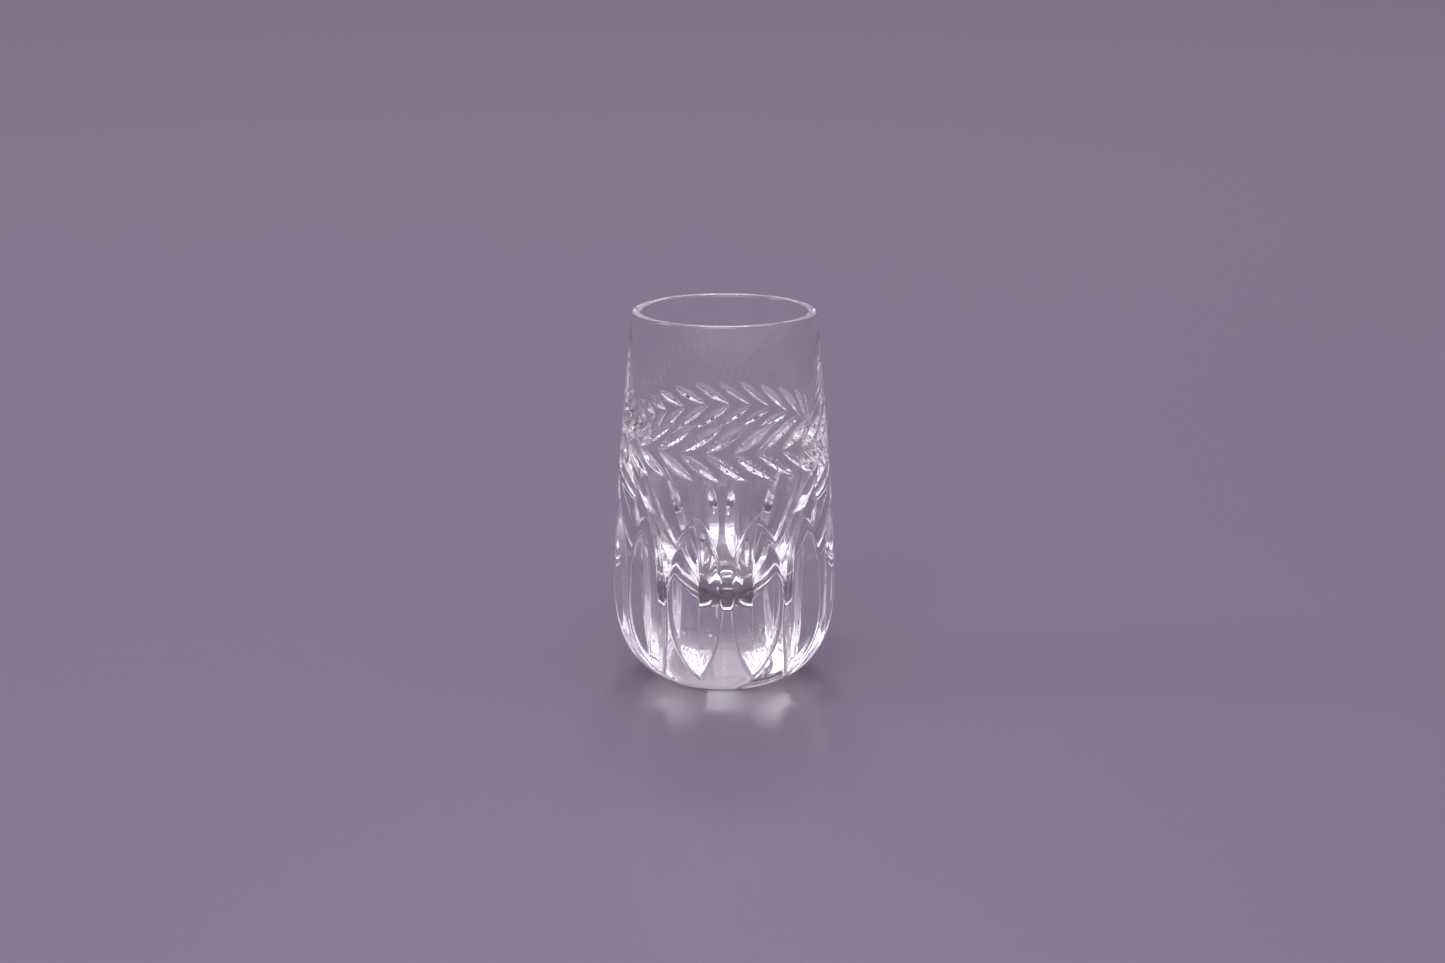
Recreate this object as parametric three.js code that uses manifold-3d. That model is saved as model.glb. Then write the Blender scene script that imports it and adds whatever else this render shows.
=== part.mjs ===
// A barrel-shaped shot glass in clear cut crystal, one solid piece of glass.
// Millimetres, +Z up. The origin is the centre of the flat foot, a narrow ring that the glass stands on.
// The body is one turned outline. Two kinds of V-shaped (mitre) cut are ground into its outside:
// a wreath of slanted leaves round the middle, and tall pointed flutes round the heavy base.

import * as THREE from 'three';
import { mergeVertices } from 'three/addons/utils/BufferGeometryUtils.js';
import Module from 'manifold-3d';

const wasm = await Module();
wasm.setup();

// Body
const HEIGHT = 70;
const RIM_RADIUS = 17.15; // outside
const RIM_WALL = 1.65;
const BELLY_RADIUS = 20.9; // the widest level
const BELLY_HEIGHT = 19;
const FOOT_RADIUS = 11.6; // of the flat ring that the glass stands on
const PUNT_RADIUS = 9.8; // the shallow hollow ground into the foot, inside that ring
const PUNT_DEPTH = 1;
const FLOOR_HEIGHT = 14.2; // lowest point of the cavity, above a solid base

// Pulls of the outline's curves
const HEEL_SWELL = { out: 7, up: 3.3 }; // of the heel, as it leaves the foot
const BELLY_PULL = { below: 10.4, above: 9.1 }; // along the vertical tangent at the belly
const WALL_PULL = { out: 1.74, down: 16.6 }; // of the wall, under the lip
const CAVITY_PULL = { out: 3, down: 24.2 }; // of the cavity, which widens below the lip
const BOWL_RADIUS = 16.5; // of the cavity's round bottom

// Leaves: two rows that start on one line round the glass and lean away from it
const LEAF_COUNT = 25; // in each row
const LEAF_START_ANGLE = 3.5; // degrees from the front, where the first leaf starts
const LEAF_SWEEP = 24; // degrees round the glass, from a leaf's start to its tip
const LEAF_RISE = 5.1; // from the line to the tip
const LEAF_LINE_HEIGHT = 46.9;
const LEAF_DEPTH = 0.8;
const LEAF_HALF_ANGLE = 50; // each face of the V, from the V's middle plane

// Flutes: a straight crease that the edge of a wheel runs out of at the top
const FLUTE_COUNT = 12;
const FLUTE_RIDGE_ANGLE = 1.5; // degrees from the front, the ridge between two flutes
const FLUTE_TOP_HEIGHT = 35;
const CREASE_RADIUS = 17.75; // from the glass's axis to the crease, where the wheel's edge leaves it
const CREASE_HEIGHT = 22;
const CREASE_SLOPE = 0.03; // the crease leans outwards by this much for each unit of height
const FLUTE_HALF_ANGLE = 60; // each face of the V, from the V's middle plane

const BLADE_DEPTH = 6; // of the wheel's V, deeper than any cut

const LATHE_SEGMENTS = 60;
const CURVE_STEPS = 7;
const WALL_STEPS = 200; // for finding a place on the wall
const WHEEL_SEGMENTS = 120;
const WELD = 1e-5; // vertices closer than this are one

const rad = THREE.MathUtils.degToRad;
const UP = new THREE.Vector3(0, 0, 1);

// Angle 0 is the front, -Y, and angles grow towards +X.
const outward = (angle) => new THREE.Vector3(Math.sin(rad(angle)), -Math.cos(rad(angle)), 0);
const around = (angle) => new THREE.Vector3(Math.cos(rad(angle)), Math.sin(rad(angle)), 0);

// The outline in (radius, height): punt, foot, heel, belly, wall, round lip, and down the cavity.
const lipHeight = HEIGHT - RIM_WALL / 2;
const belly = new THREE.Vector2(BELLY_RADIUS, BELLY_HEIGHT);
const heel = new THREE.CubicBezierCurve(
  new THREE.Vector2(FOOT_RADIUS, 0),
  new THREE.Vector2(FOOT_RADIUS + HEEL_SWELL.out, HEEL_SWELL.up),
  new THREE.Vector2(BELLY_RADIUS, BELLY_HEIGHT - BELLY_PULL.below),
  belly,
);
const wall = new THREE.CubicBezierCurve(
  belly,
  new THREE.Vector2(BELLY_RADIUS, BELLY_HEIGHT + BELLY_PULL.above),
  new THREE.Vector2(RIM_RADIUS + WALL_PULL.out, lipHeight - WALL_PULL.down),
  new THREE.Vector2(RIM_RADIUS, lipHeight),
);
const cavity = new THREE.CubicBezierCurve(
  new THREE.Vector2(RIM_RADIUS - RIM_WALL, lipHeight),
  new THREE.Vector2(RIM_RADIUS - RIM_WALL + CAVITY_PULL.out, lipHeight - CAVITY_PULL.down),
  new THREE.Vector2(BOWL_RADIUS, FLOOR_HEIGHT),
  new THREE.Vector2(0, FLOOR_HEIGHT),
);

// The punt starts flat in its middle and meets the foot's ring at twice its mean slope.
const punt = new THREE.QuadraticBezierCurve(
  new THREE.Vector2(0, PUNT_DEPTH),
  new THREE.Vector2(PUNT_RADIUS / 2, PUNT_DEPTH),
  new THREE.Vector2(PUNT_RADIUS, 0),
);

function outline() {
  const path = new THREE.Path();
  path.curves.push(punt);
  path.currentPoint.copy(punt.v2);
  path.lineTo(FOOT_RADIUS, 0);
  path.curves.push(heel, wall);
  path.currentPoint.copy(wall.v3);
  path.absarc(RIM_RADIUS - RIM_WALL / 2, lipHeight, RIM_WALL / 2, 0, Math.PI, false);
  path.curves.push(cavity);
  return path.getPoints(CURVE_STEPS);
}

// The wall's radius and outward normal (in the radius and height plane) at a height above the belly.
function wallAt(height) {
  const points = wall.getPoints(WALL_STEPS);
  const i = points.findIndex((p) => p.y >= height);
  const [a, b] = [points[i - 1], points[i]];
  const t = (height - a.y) / (b.y - a.y);
  const normal = new THREE.Vector2(b.y - a.y, a.x - b.x).normalize();
  return { radius: a.x + t * (b.x - a.x), normal };
}

// A closed three.js geometry as a manifold solid.
function solid(geometry) {
  const plain = geometry.clone();
  plain.deleteAttribute('normal');
  plain.deleteAttribute('uv');
  const merged = mergeVertices(plain, WELD);
  const index = merged.index.array;
  const triangles = [];
  for (let i = 0; i < index.length; i += 3) {
    const [a, b, c] = index.slice(i, i + 3);
    if (a !== b && b !== c && c !== a) triangles.push(a, b, c);
  }
  return new wasm.Manifold(new wasm.Mesh({
    numProp: 3,
    vertProperties: new Float32Array(merged.attributes.position.array),
    triVerts: new Uint32Array(triangles),
  }));
}

function geometryOf(manifold) {
  const mesh = manifold.getMesh();
  const geometry = new THREE.BufferGeometry();
  geometry.setAttribute('position', new THREE.BufferAttribute(mesh.vertProperties, 3));
  geometry.setIndex(new THREE.BufferAttribute(mesh.triVerts, 1));
  geometry.computeVertexNormals();
  return geometry;
}

// A grinding wheel with a V-shaped edge, turning about its own Y axis.
function wheel(radius, halfAngle) {
  const halfWidth = BLADE_DEPTH * Math.tan(rad(halfAngle));
  const section = [
    new THREE.Vector2(0, -halfWidth),
    new THREE.Vector2(radius - BLADE_DEPTH, -halfWidth),
    new THREE.Vector2(radius, 0),
    new THREE.Vector2(radius - BLADE_DEPTH, halfWidth),
    new THREE.Vector2(0, halfWidth),
  ];
  return new THREE.LatheGeometry(section, WHEEL_SEGMENTS);
}

// Places a wheel so that its edge reaches `deepest`, cutting along `travel` from the side of `normal`.
function placeWheel(radius, halfAngle, deepest, normal, travel) {
  const axle = new THREE.Vector3().crossVectors(travel, normal);
  const centre = deepest.clone().addScaledVector(normal, radius);
  const turn = new THREE.Matrix4().makeBasis(normal, axle, new THREE.Vector3().crossVectors(normal, axle));
  return wheel(radius, halfAngle).applyMatrix4(turn.setPosition(centre));
}

// One leaf: the wheel touches down once, so the cut is long, pointed at both ends and deepest midway.
// direction is 1 for the row above the line and -1 for the row below.
function leafCutter(startAngle, direction) {
  const angle = startAngle + LEAF_SWEEP / 2;
  const height = LEAF_LINE_HEIGHT + direction * LEAF_RISE / 2;
  const { radius, normal } = wallAt(height);
  const out = outward(angle).multiplyScalar(normal.x).addScaledVector(UP, normal.y);
  const run = radius * rad(LEAF_SWEEP);
  const along = around(angle).multiplyScalar(run).addScaledVector(UP, direction * LEAF_RISE);
  const travel = along.clone().addScaledVector(out, -along.dot(out)).normalize();
  const halfLength = Math.hypot(run, LEAF_RISE) / 2;
  // The glass curves away from the wheel round its own axis, which shortens the cut.
  const glassCurvature = travel.dot(around(angle)) ** 2 / radius;
  const wheelRadius = 1 / (2 * LEAF_DEPTH / halfLength ** 2 - glassCurvature);
  const surface = outward(angle).multiplyScalar(radius).addScaledVector(UP, height);
  const deepest = surface.addScaledVector(out, -LEAF_DEPTH);
  return placeWheel(wheelRadius, LEAF_HALF_ANGLE, deepest, out, travel);
}

// One flute: the same V drawn straight down from where the wheel's edge leaves the crease.
function fluteCutters(angle) {
  const lean = Math.atan(CREASE_SLOPE);
  const down = outward(angle).multiplyScalar(-Math.sin(lean)).addScaledVector(UP, -Math.cos(lean));
  const out = outward(angle).multiplyScalar(Math.cos(lean)).addScaledVector(UP, -Math.sin(lean));
  const start = outward(angle).multiplyScalar(CREASE_RADIUS).addScaledVector(UP, CREASE_HEIGHT);

  // The wheel's edge has to reach the wall at the flute's top: half a chord, and how far it bows.
  const top = outward(angle).multiplyScalar(wallAt(FLUTE_TOP_HEIGHT).radius);
  top.addScaledVector(UP, FLUTE_TOP_HEIGHT).sub(start);
  const rise = -top.dot(down);
  const bow = top.dot(out);
  const wheelRadius = (rise ** 2 + bow ** 2) / (2 * bow);

  const halfWidth = BLADE_DEPTH * Math.tan(rad(FLUTE_HALF_ANGLE));
  const vee = new THREE.Shape([
    new THREE.Vector2(0, 0),
    new THREE.Vector2(BLADE_DEPTH, halfWidth),
    new THREE.Vector2(BLADE_DEPTH, -halfWidth),
  ]);
  const length = 2 * CREASE_HEIGHT;
  const straight = new THREE.ExtrudeGeometry(vee, { depth: length, bevelEnabled: false });
  const side = new THREE.Vector3().crossVectors(down, out);
  straight.applyMatrix4(new THREE.Matrix4().makeBasis(out, side, down).setPosition(start));
  return [straight, placeWheel(wheelRadius, FLUTE_HALF_ANGLE, start, out, down)];
}

function cutters() {
  const list = [];
  for (let i = 0; i < LEAF_COUNT; i++) {
    const start = LEAF_START_ANGLE + (360 / LEAF_COUNT) * i;
    list.push(leafCutter(start, 1), leafCutter(start, -1));
  }
  for (let i = 0; i < FLUTE_COUNT; i++) {
    list.push(...fluteCutters(FLUTE_RIDGE_ANGLE + (360 / FLUTE_COUNT) * (i + 0.5)));
  }
  return list;
}

const blank = new THREE.LatheGeometry(outline(), LATHE_SEGMENTS).rotateX(Math.PI / 2);
const glass = cutters().reduce((body, cutter) => body.subtract(solid(cutter)), solid(blank));

const crystal = new THREE.MeshStandardMaterial({
  color: 0xf1eef4,
  roughness: 0.03,
  metalness: 0,
  transparent: true,
  opacity: 0.35,
});

const cutGlassTumbler = new THREE.Mesh(geometryOf(glass), crystal);
cutGlassTumbler.name = 'cut_glass_tumbler';

const shotGlass = new THREE.Group();
shotGlass.add(cutGlassTumbler);

export default shotGlass;
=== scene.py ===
"""Looks of the cut crystal shot glass: the glass itself, a plain floor, soft studio lights and the camera.

The glass is one closed skin laid out as rings. Its outside is a turned outline that is ground away along its
own normal, by leaf cuts round the middle and flutes round the base. Acid polishing has softened the edges.
"""

import math

import bpy
import numpy as np
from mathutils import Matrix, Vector


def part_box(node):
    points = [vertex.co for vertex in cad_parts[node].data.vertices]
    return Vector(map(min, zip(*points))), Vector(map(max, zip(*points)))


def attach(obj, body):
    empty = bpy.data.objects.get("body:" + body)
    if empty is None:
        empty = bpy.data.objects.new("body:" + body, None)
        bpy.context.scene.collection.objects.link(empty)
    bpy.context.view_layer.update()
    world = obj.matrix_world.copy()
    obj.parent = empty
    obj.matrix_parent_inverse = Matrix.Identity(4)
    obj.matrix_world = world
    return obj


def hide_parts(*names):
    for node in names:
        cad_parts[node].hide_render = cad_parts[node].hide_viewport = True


NODE = "cut_glass_tumbler"
MM = 0.001

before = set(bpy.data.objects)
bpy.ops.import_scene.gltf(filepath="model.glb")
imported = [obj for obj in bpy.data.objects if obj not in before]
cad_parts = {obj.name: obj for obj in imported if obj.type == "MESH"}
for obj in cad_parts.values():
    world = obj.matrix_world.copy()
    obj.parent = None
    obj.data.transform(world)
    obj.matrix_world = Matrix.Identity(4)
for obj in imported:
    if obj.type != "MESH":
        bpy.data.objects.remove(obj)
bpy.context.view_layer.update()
lowest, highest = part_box(NODE)

# Body, in millimetres
HEIGHT = (highest.z - lowest.z) / MM
RIM_RADIUS = 17.15  # outside
RIM_WALL = 1.65
BELLY_RADIUS = 20.9  # the widest level
BELLY_HEIGHT = 19.0
FOOT_RADIUS = 11.6
PUNT_RADIUS = 9.8  # the shallow hollow ground into the foot
PUNT_DEPTH = 1.0
PUNT_RIM = 0.1  # polishing has rounded its edge and the foot's over this width
FLOOR_HEIGHT = 14.2  # lowest point of the cavity
HEEL_SWELL = (7.0, 3.3)  # how far out and up the heel's curve is pulled as it leaves the foot
BELLY_PULL = (10.4, 9.1)  # how far below and above the belly its vertical tangent reaches
WALL_PULL = (1.74, 16.6)  # the lean of the wall under the lip: out, over this height
CAVITY_PULL = (3.0, 24.2)  # how the cavity widens below the lip: out, over this depth
BOWL_RADIUS = 16.5  # pull of the bowl-shaped bottom of the cavity
LIP_POWER = 2.6  # 2 is a half round lip, more is flatter on top

# Leaves: two rows that start on one line round the glass and lean away from it
LEAF_COUNT = 25
LEAF_START_ANGLE = 3.5  # degrees from the front, where the first leaf starts
LEAF_SWEEP = 24.0  # degrees round the glass, from a leaf's start to its tip
LEAF_RISE = 5.1  # from the line to the tip
LEAF_LINE_HEIGHT = 46.9
LEAF_DEPTH = 0.8
LEAF_EDGE = 0.2  # how far polishing has rounded the edge of a leaf
LEAF_KEEL = 0.05  # and the bottom of its V

# Flutes: a straight crease that the edge of a wheel runs out of at the top
FLUTE_COUNT = 12
FLUTE_RIDGE_ANGLE = 1.5  # degrees from the front, the ridge between two flutes
FLUTE_TOP_HEIGHT = 35.0
CREASE_RADIUS = 17.75  # from the glass's axis to the crease, at the height where the wheel's edge leaves it
CREASE_HEIGHT = 22.0
CREASE_SLOPE = 0.03  # the crease leans out by this much for each unit of height
HEEL_BEND_HEIGHT = 9.0  # below this the crease bends in, following the heel
HEEL_BEND = 0.025  # the bend, for each square millimetre of distance below that height
FRONT_FLUTES = (0, 11)  # these two, on either side of the front, were cut with a more bent crease
FRONT_SLOPE = -0.02
FRONT_BEND = 0.043
# Flutes that the cutter set unevenly: how far round, in degrees, and how much deeper, in millimetres
FLUTE_SLIPS = {0: (0.4, 0.1), 1: (-1.2, 0), 10: (-1.0, 0), 11: (-1.6, 0.25)}
FLUTE_EDGE = 0.5  # rounding of a flute's edge and of its crease
FLUTE_KEEL = 0.08

# Each face of a V leans this far from its middle plane
LEAF_FACE_ANGLE = 50.0
FLUTE_FACE_ANGLE = 60.0

# Handwork: how unevenly the cutter held the glass, in degrees, in height and as a share of the depth
HAND_ANGLE = 0.35
HAND_HEIGHT = 0.07
HAND_DEPTH = 0.06
SEED = 3

# The blown inside is faintly wavy: bumps round the glass, twist with height, phase and share of the ripple
RIPPLE = 0.03
WAVES = [(3, 0.09, 0, 1.0), (7, -0.13, 1, 0.7), (5, 0.31, 2, 0.5)]
CALM_LIP = 12.0  # the waves grow in over this depth below the lip
CALM_RADIUS = 8.0  # and die out inside this radius

LEAD_CRYSTAL_IOR = 1.545

# Mesh
COLUMNS = 504
PUNT_RINGS = 12
HEEL_ROWS = 7
FLUTE_ROWS = 58
GAP_ROWS = 3
LEAF_ROWS = 56
TOP_ROWS = 6
LIP_ROWS = 11
CAVITY_ROWS = 38
OUTLINE_STEPS = 1600
HEEL_TOP = 2.0  # the rows are spaced for the heel up to here
BAND_MARGIN = 1.0  # and for the flutes and the leaves with this much to spare
OUTSIDE_STEP = 0.015  # distances between the places that give a surface its direction
INSIDE_STEP = 0.002

# Working out the cuts
UNCUT = -1.0  # the depth of a cut that doesn't reach the glass
CUT_MARGIN = 3.0  # each cut is worked out this far past its nominal end
LEAF_SPARE = 8.0  # degrees, likewise round the glass
FLUTE_REACH = 40.0  # degrees, on each side of a flute
CREASE_PASSES = 4
WHEEL_PART = 0.99  # of the wheel's radius, the farthest its edge is followed
SLOWEST = 0.25  # least rate at which a step along the normal may close the gap to the cut
CUT_RANGE = (-3, 6)  # least and greatest depth tried

rng = np.random.RandomState(SEED)
lip_height = HEIGHT - RIM_WALL / 2


def bezier(points, t):
    """Points of a cubic Bezier curve, one row for each t."""
    a, b, c, d = (np.array(p, float) for p in points)
    t = np.asarray(t, float)[:, None]
    return (1 - t) ** 3 * a + 3 * (1 - t) ** 2 * t * b + 3 * (1 - t) * t * t * c + t ** 3 * d


def make_outline():
    """The outside from the foot's edge to the lip: length along it, radius, height and its normal."""
    t = np.linspace(0, 1, OUTLINE_STEPS)
    belly = (BELLY_RADIUS, BELLY_HEIGHT)
    heel = bezier([(FOOT_RADIUS, 0), (FOOT_RADIUS + HEEL_SWELL[0], HEEL_SWELL[1]),
                   (BELLY_RADIUS, BELLY_HEIGHT - BELLY_PULL[0]), belly], t)
    wall = bezier([belly, (BELLY_RADIUS, BELLY_HEIGHT + BELLY_PULL[1]),
                   (RIM_RADIUS + WALL_PULL[0], lip_height - WALL_PULL[1]), (RIM_RADIUS, lip_height)], t)
    points = np.vstack([heel, wall[1:]])
    step = np.gradient(points, axis=0)
    step /= np.linalg.norm(step, axis=1)[:, None]
    length = np.concatenate([[0], np.cumsum(np.linalg.norm(np.diff(points, axis=0), axis=1))])
    return length, points[:, 0], points[:, 1], step[:, 1], -step[:, 0]


out_length, out_radius, out_height, out_normal_r, out_normal_z = make_outline()


def radius_at(height):
    """The uncut glass's outside radius."""
    return np.interp(height, out_height, out_radius)


def length_at(height):
    """The length along the outline, from the foot's edge."""
    return np.interp(height, out_height, out_length)


def soft_max(a, b, width):
    """The larger of two depths, rounded where they cross."""
    blend = np.maximum(width - np.abs(a - b), 0) / width
    return np.maximum(a, b) + blend * blend * width / 4


def directions(angle):
    """Outward and sideways unit vectors at an angle from the front, -Y, growing towards +X."""
    return np.array([np.sin(angle), -np.cos(angle), 0]), np.array([np.cos(angle), np.sin(angle), 0])


def angle_apart(a, b):
    """The size of the angle between two directions round the glass."""
    return np.abs((a - b + np.pi) % (2 * np.pi) - np.pi)


# --- The cuts -----------------------------------------------------------------------------------


def make_leaves():
    """Each leaf's middle, the frame of its cut and how sharply the wheel's edge bows out of it."""
    leaves = []
    for row in (1, -1):
        for i in range(LEAF_COUNT):
            angle = math.radians(LEAF_START_ANGLE + 360 / LEAF_COUNT * i + LEAF_SWEEP / 2
                                 + HAND_ANGLE * rng.normal())
            height = LEAF_LINE_HEIGHT + row * LEAF_RISE / 2 + HAND_HEIGHT * rng.normal()
            depth = LEAF_DEPTH * (1 + HAND_DEPTH * rng.normal())
            out, side = directions(angle)
            up = np.array([0, 0, 1.0])
            radius = float(radius_at(height))
            lean = float(radius_at(height + 0.5) - radius_at(height - 0.5))  # over one millimetre of height
            normal = out - up * lean
            normal /= np.linalg.norm(normal)
            run = radius * math.radians(LEAF_SWEEP)
            along = side * run + up * row * LEAF_RISE
            along -= normal * (along @ normal)
            along /= np.linalg.norm(along)
            half_length = math.hypot(run, LEAF_RISE) / 2
            glass_bend = (along @ side) ** 2 / radius
            bow = 2 * depth / half_length ** 2 - glass_bend
            middle = out * radius + up * height
            leaves.append((angle, middle, normal, along, np.cross(normal, along), depth, bow))
    return leaves


def make_flutes():
    """Each flute's angle and its crease: radius at the straight part, slope, and the wheel that ends it."""
    flutes = []
    for i in range(FLUTE_COUNT):
        slip, deeper = FLUTE_SLIPS.get(i, (HAND_ANGLE * rng.normal(), 0))
        angle = math.radians(FLUTE_RIDGE_ANGLE + 360 / FLUTE_COUNT * (i + 0.5) + slip)
        keel = CREASE_RADIUS - deeper
        top = FLUTE_TOP_HEIGHT + HAND_HEIGHT * rng.normal()
        rise = top - CREASE_HEIGHT
        slope, bend = (FRONT_SLOPE, FRONT_BEND) if i in FRONT_FLUTES else (CREASE_SLOPE, HEEL_BEND)
        bow = float(radius_at(top)) - (keel + slope * rise)
        wheel = (rise * rise + bow * bow) / (2 * bow)
        flutes.append((angle, keel, wheel, slope, bend))
    return flutes


leaves = make_leaves()
flutes = make_flutes()
leaf_slope = math.tan(math.radians(LEAF_FACE_ANGLE))
flute_slope = math.tan(math.radians(FLUTE_FACE_ANGLE))
leaf_reach = math.radians(LEAF_SWEEP / 2 + LEAF_SPARE)
flute_reach = math.radians(FLUTE_REACH)


def leaf_depth(points, angles):
    """How deep the leaves cut below each point of the outline."""
    depth = np.full(angles.shape, UNCUT)
    band = np.abs(points[..., 2] - LEAF_LINE_HEIGHT) < LEAF_RISE + CUT_MARGIN
    for angle, middle, normal, along, across, deepest, bow in leaves:
        near = band & (angle_apart(angles, angle) < leaf_reach)
        offset = points[near] - middle
        side = offset @ across
        cut = deepest + offset @ normal - bow * (offset @ along) ** 2 / 2
        cut -= np.sqrt(side * side + LEAF_KEEL ** 2) / leaf_slope
        depth[near] = soft_max(depth[near], cut, LEAF_EDGE)
    return soft_max(depth, 0, LEAF_EDGE)


def flute_depth(points, normals, angles):
    """How deep the flutes cut below each point, along its normal, found in a few passes."""
    depth = np.full(angles.shape, UNCUT)
    band = points[..., 2] < FLUTE_TOP_HEIGHT + CUT_MARGIN
    for angle, keel, wheel, slope, bend in flutes:
        near = band & (angle_apart(angles, angle) < flute_reach)
        out, side = directions(angle)
        start, along = points[near], normals[near]
        cut = np.zeros(len(start))
        for _ in range(CREASE_PASSES):
            at = start - cut[:, None] * along
            above = np.maximum(at[:, 2] - CREASE_HEIGHT, 0)
            reach = np.sqrt(wheel * wheel - np.minimum(above, WHEEL_PART * wheel) ** 2)
            below = np.maximum(HEEL_BEND_HEIGHT - at[:, 2], 0)
            crease = keel + slope * (at[:, 2] - CREASE_HEIGHT) + wheel - reach - bend * below ** 2
            aside = at @ side
            width = np.sqrt(aside * aside + FLUTE_KEEL ** 2)
            gap = at @ out - crease - width / flute_slope
            lean = slope + above / reach + 2 * bend * below
            rate = along @ out - lean * along[:, 2] - aside / width / flute_slope * (along @ side)
            cut = np.clip(cut + gap / np.maximum(rate, SLOWEST), *CUT_RANGE)
        depth[near] = soft_max(depth[near], cut, FLUTE_EDGE)
    return soft_max(depth, 0, FLUTE_EDGE)


# --- The skin -----------------------------------------------------------------------------------


def outside(length, angles):
    """Points of the ground outside at a length along the outline and an angle round it."""
    radius, height, nr, nz = (np.interp(length, out_length, values)
                              for values in (out_radius, out_height, out_normal_r, out_normal_z))
    sin, cos = np.sin(angles), np.cos(angles)
    points = np.stack([radius * sin, -radius * cos, height], -1)
    normals = np.stack([nr * sin, -nr * cos, nz], -1)
    depth = np.maximum(leaf_depth(points, angles), flute_depth(points, normals, angles))
    return points - depth[..., None] * normals


cavity_path = bezier([(RIM_RADIUS - RIM_WALL, lip_height),
                      (RIM_RADIUS - RIM_WALL + CAVITY_PULL[0], lip_height - CAVITY_PULL[1]),
                      (BOWL_RADIUS, FLOOR_HEIGHT), (0, FLOOR_HEIGHT)], np.linspace(0, 1, OUTLINE_STEPS))


def inside(t, angles):
    """Points of the blown inside, with its faint waviness, at a place t from lip (0) to floor centre (1)."""
    places = np.linspace(0, 1, OUTLINE_STEPS)
    radius, height = np.interp(t, places, cavity_path[:, 0]), np.interp(t, places, cavity_path[:, 1])
    wave = sum(share * np.sin(bumps * angles + twist * height + phase) for bumps, twist, phase, share in WAVES)
    calm = np.clip((HEIGHT - height) / CALM_LIP, 0, 1) * np.clip(radius / CALM_RADIUS, 0, 1)
    radius = radius + RIPPLE * wave * calm
    return np.stack([radius * np.sin(angles), -radius * np.cos(angles), height], -1)


def unit(vectors):
    """Vectors scaled to length one."""
    return vectors / np.maximum(np.linalg.norm(vectors, axis=-1), 1e-12)[..., None]


def surface(function, places, angles, limits, step):
    """Points and normals of a surface given as a function of a place along it and an angle round it."""
    place, angle = np.meshgrid(places, angles, indexing="ij")
    along = (function(np.minimum(place + step, limits[1]), angle)
             - function(np.maximum(place - step, limits[0]), angle))
    around = function(place, angle + step / 10) - function(place, angle - step / 10)
    return function(place, angle), unit(np.cross(around, along))


def make_rings():
    """Every ring of the skin, from the foot's middle over the lip to the cavity's middle, with its normals."""
    angles = np.linspace(0, 2 * np.pi, COLUMNS, endpoint=False)
    sin, cos, flat = np.sin(angles), np.cos(angles), np.zeros(COLUMNS)

    def turned(radius, height, normal_r, normal_z):
        return (np.stack([radius * sin, -radius * cos, flat + height], 1),
                np.stack([normal_r * sin, -normal_r * cos, flat + normal_z], 1))

    rings = []
    for out in np.linspace(0, 1, PUNT_RINGS + 1)[1:]:
        normal = unit(np.array([-2 * PUNT_DEPTH * out, -PUNT_RADIUS]))
        rings.append(turned(PUNT_RADIUS * out, PUNT_DEPTH * (1 - out * out), normal[0], normal[1]))
    rings += [turned(radius, 0, 0, -1) for radius in (PUNT_RADIUS + PUNT_RIM, FOOT_RADIUS - PUNT_RIM)]

    leaf_low, leaf_high = (LEAF_LINE_HEIGHT + s * (LEAF_RISE + BAND_MARGIN) for s in (-1, 1))
    levels = [0, HEEL_TOP, FLUTE_TOP_HEIGHT + BAND_MARGIN, leaf_low, leaf_high]
    counts = [HEEL_ROWS, FLUTE_ROWS, GAP_ROWS, LEAF_ROWS, TOP_ROWS]
    marks = [length_at(z) for z in levels] + [out_length[-1]]
    places = [np.linspace(a, b, n, endpoint=False) for a, b, n in zip(marks, marks[1:], counts)]
    places = np.concatenate(places + [[out_length[-1]]])
    rings += list(zip(*surface(outside, places, angles, (0, out_length[-1]), OUTSIDE_STEP)))

    middle, half = RIM_RADIUS - RIM_WALL / 2, RIM_WALL / 2
    for turn in np.linspace(0, math.pi, LIP_ROWS + 2)[1:-1]:
        c, s = math.cos(turn), math.sin(turn)
        x, z = math.copysign(abs(c) ** (2 / LIP_POWER), c), s ** (2 / LIP_POWER)
        n = unit(np.array([math.copysign(abs(x) ** (LIP_POWER - 1), c), z ** (LIP_POWER - 1)]))
        rings.append(turned(middle + half * x, lip_height + half * z, n[0], n[1]))

    rings += list(zip(*surface(inside, np.linspace(0, 1, CAVITY_ROWS)[:-1], angles, (0, 1), INSIDE_STEP)))
    return rings


def make_glass():
    """The closed skin: the rings joined by four-sided faces, with a fan of triangles at each end."""
    rings = make_rings()
    points = np.vstack([[[0, 0, PUNT_DEPTH]]] + [r[0] for r in rings] + [[[0, 0, FLOOR_HEIGHT]]])
    normals = np.vstack([[[0, 0, -1]]] + [r[1] for r in rings] + [[[0, 0, 1]]])
    here = np.arange(COLUMNS)
    after = (here + 1) % COLUMNS
    last = len(points) - 1
    faces = [(0, 1 + b, 1 + a) for a, b in zip(here, after)]
    for i in range(len(rings) - 1):
        low, high = 1 + i * COLUMNS, 1 + (i + 1) * COLUMNS
        faces += [(low + a, low + b, high + b, high + a) for a, b in zip(here, after)]
    top = last - COLUMNS
    faces += [(top + a, top + b, last) for a, b in zip(here, after)]
    mesh = bpy.data.meshes.new("crystal_tumbler")
    mesh.from_pydata((points * MM).tolist(), [], [tuple(int(v) for v in f) for f in faces])
    mesh.polygons.foreach_set("use_smooth", np.ones(len(faces), bool))
    mesh.normals_split_custom_set_from_vertices(normals.tolist())
    mesh.update()
    piece = bpy.data.objects.new("crystal_tumbler", mesh)
    bpy.context.scene.collection.objects.link(piece)
    return piece


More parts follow.
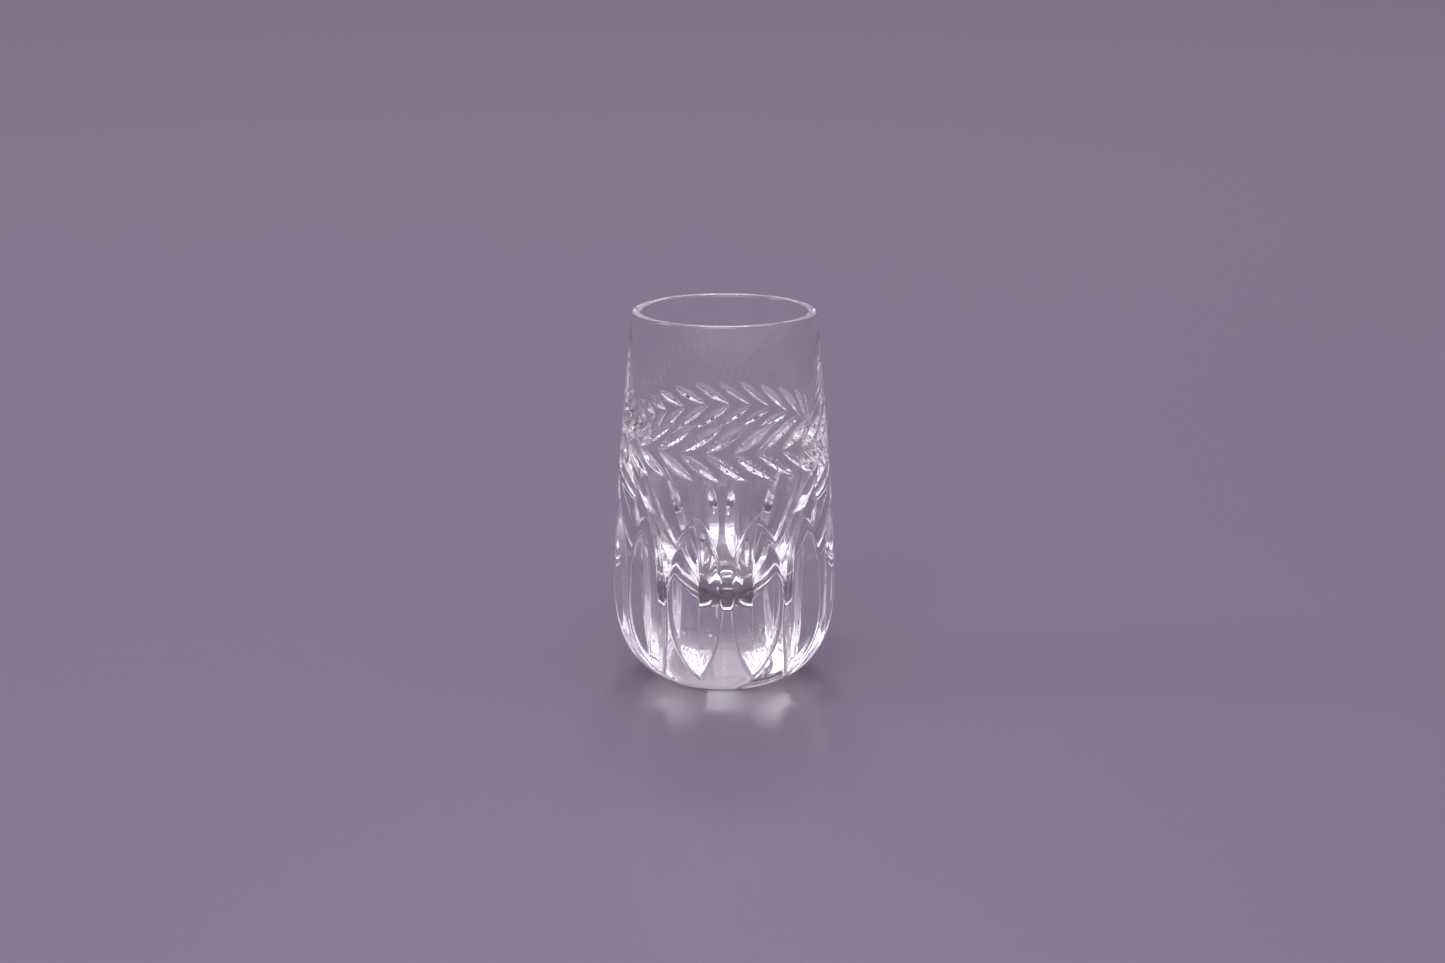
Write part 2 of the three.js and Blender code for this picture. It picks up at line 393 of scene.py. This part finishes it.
def crystal():
    """Polished lead crystal: clear, colourless and perfectly smooth."""
    material = bpy.data.materials.new("clear_crystal")
    material.use_nodes = True
    shader = material.node_tree.nodes["Principled BSDF"]
    shader.inputs["Base Color"].default_value = (1, 1, 1, 1)
    shader.inputs["Roughness"].default_value = 0.0
    shader.inputs["IOR"].default_value = LEAD_CRYSTAL_IOR
    shader.inputs["Transmission Weight"].default_value = 1.0
    return material


glass = make_glass()
glass.data.materials.append(crystal())
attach(glass, "root")
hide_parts(NODE)

# --- The stage ----------------------------------------------------------------------------------

FLOOR_HALF = 6.0  # metres, as everything on the stage is
FLOOR_GAP = 0.0001  # under the foot
FLOOR_COLOUR = (0.164, 0.134, 0.189, 1)
FLOOR_ROUGHNESS = 0.35
FLOOR_SHINE = 0.3
SURROUND = [  # sine of the height above the horizon, colour: a low backdrop under a bright ceiling
    (0.0, (0.27, 0.23, 0.31)),
    (0.12, (0.34, 0.29, 0.38)),
    (0.3, (0.37, 0.32, 0.41)),
    (0.55, (0.58, 0.51, 0.63)),
    (0.8, (0.70, 0.62, 0.75)),
    (1.0, (0.67, 0.60, 0.72)),
]
LIGHT_COLOUR = (1.0, 0.95, 1.0)
ROOM_SIDE = (0.35, -0.85, 0.40)  # the bright side of the room, behind the camera and to its right
ROOM_GLOW = (0.36, 0.34, 0.38)
ROOM_EDGE = (0.05, 0.75)  # how squarely a direction faces that side, where the glow starts and is full
LIGHTS = [  # name, azimuth from the front, elevation, distance, width, height, watts
    ("top_back", 180, 57, 1.4, 0.34, 0.58, 5.0),
    ("left_side", 274, 34, 1.4, 0.40, 0.40, 3.4),
    ("front_left", 332, 34, 1.4, 0.50, 0.50, 0.8),
    ("top_front", 352, 50, 0.42, 0.25, 0.25, 0.5),
]
CAMERA_PLACE = (-0.000355, -0.560, 0.1747)
CAMERA_AIM_HEIGHT = 0.03718  # on the glass's axis
CAMERA_SENSOR = 36  # millimetres, as the lens is
CAMERA_LENS = 76.62
CAMERA_NEAR = 0.01
BOUNCES = 24  # light is thrown about inside cut glass many times before it leaves


def make_floor():
    """A plain, slightly glossy table top that runs to the horizon."""
    mesh = bpy.data.meshes.new("floor")
    h = FLOOR_HALF
    mesh.from_pydata([(-h, -h, 0), (h, -h, 0), (h, h, 0), (-h, h, 0)], [], [(0, 1, 2, 3)])
    floor = bpy.data.objects.new("floor", mesh)
    floor.location.z = -FLOOR_GAP
    bpy.context.scene.collection.objects.link(floor)
    material = bpy.data.materials.new("floor")
    material.use_nodes = True
    shader = material.node_tree.nodes["Principled BSDF"]
    shader.inputs["Base Color"].default_value = FLOOR_COLOUR
    shader.inputs["Roughness"].default_value = FLOOR_ROUGHNESS
    shader.inputs["Specular IOR Level"].default_value = FLOOR_SHINE
    mesh.materials.append(material)


def make_surround():
    """A smooth studio surround that brightens from the horizon upwards, and more so on one side."""
    world = bpy.data.worlds.new("surround")
    bpy.context.scene.world = world
    world.use_nodes = True
    tree = world.node_tree
    place = tree.nodes.new("ShaderNodeTexCoord")
    split = tree.nodes.new("ShaderNodeSeparateXYZ")
    ramp = tree.nodes.new("ShaderNodeValToRGB")
    tree.links.new(place.outputs["Generated"], split.inputs[0])
    tree.links.new(split.outputs["Z"], ramp.inputs[0])
    side = tree.nodes.new("ShaderNodeVectorMath")
    side.operation = "DOT_PRODUCT"
    side.inputs[1].default_value = Vector(ROOM_SIDE).normalized()
    tree.links.new(place.outputs["Generated"], side.inputs[0])
    edge = tree.nodes.new("ShaderNodeMapRange")
    edge.interpolation_type = "SMOOTHSTEP"
    edge.inputs["From Min"].default_value, edge.inputs["From Max"].default_value = ROOM_EDGE
    tree.links.new(side.outputs["Value"], edge.inputs["Value"])
    glow = tree.nodes.new("ShaderNodeMix")
    glow.data_type, glow.blend_type = "RGBA", "ADD"
    glow.inputs["B"].default_value = (*ROOM_GLOW, 1)
    tree.links.new(edge.outputs[0], glow.inputs["Factor"])
    tree.links.new(ramp.outputs[0], glow.inputs["A"])
    tree.links.new(glow.outputs["Result"], tree.nodes["Background"].inputs["Color"])
    ramp.color_ramp.interpolation = "EASE"
    stops = ramp.color_ramp.elements
    stops.remove(stops[-1])
    for i, (at, colour) in enumerate(SURROUND):
        stop = stops[0] if i == 0 else stops.new(at)
        stop.position = at
        stop.color = (*colour, 1)


def make_lights():
    """Soft rectangular lights, all turned to the middle of the glass."""
    aim = Vector((0, 0, HEIGHT / 2 * MM))
    for name, azimuth, elevation, distance, width, height, watts in LIGHTS:
        a, e = math.radians(azimuth), math.radians(elevation)
        away = Vector((math.sin(a) * math.cos(e), -math.cos(a) * math.cos(e), math.sin(e)))
        data = bpy.data.lights.new(name, "AREA")
        data.shape = "RECTANGLE"
        data.size, data.size_y, data.energy = width, height, watts
        data.color = LIGHT_COLOUR
        light = bpy.data.objects.new(name, data)
        light.location = aim + away * distance
        light.rotation_euler = away.to_track_quat("Z", "Y").to_euler()
        bpy.context.scene.collection.objects.link(light)


def make_camera():
    """The camera stands in front of the glass and looks slightly down at its middle."""
    data = bpy.data.cameras.new("camera")
    data.sensor_width, data.lens, data.clip_start = CAMERA_SENSOR, CAMERA_LENS, CAMERA_NEAR
    camera = bpy.data.objects.new("camera", data)
    camera.location = CAMERA_PLACE
    down = math.atan2(CAMERA_PLACE[2] - CAMERA_AIM_HEIGHT, -CAMERA_PLACE[1])
    camera.rotation_euler = (math.pi / 2 - down, 0, 0)
    bpy.context.scene.collection.objects.link(camera)
    bpy.context.scene.camera = camera


make_floor()
make_surround()
make_lights()
make_camera()

scene = bpy.context.scene
scene.cycles.max_bounces = scene.cycles.glossy_bounces = scene.cycles.transmission_bounces = BOUNCES
scene.view_settings.view_transform = "Standard"
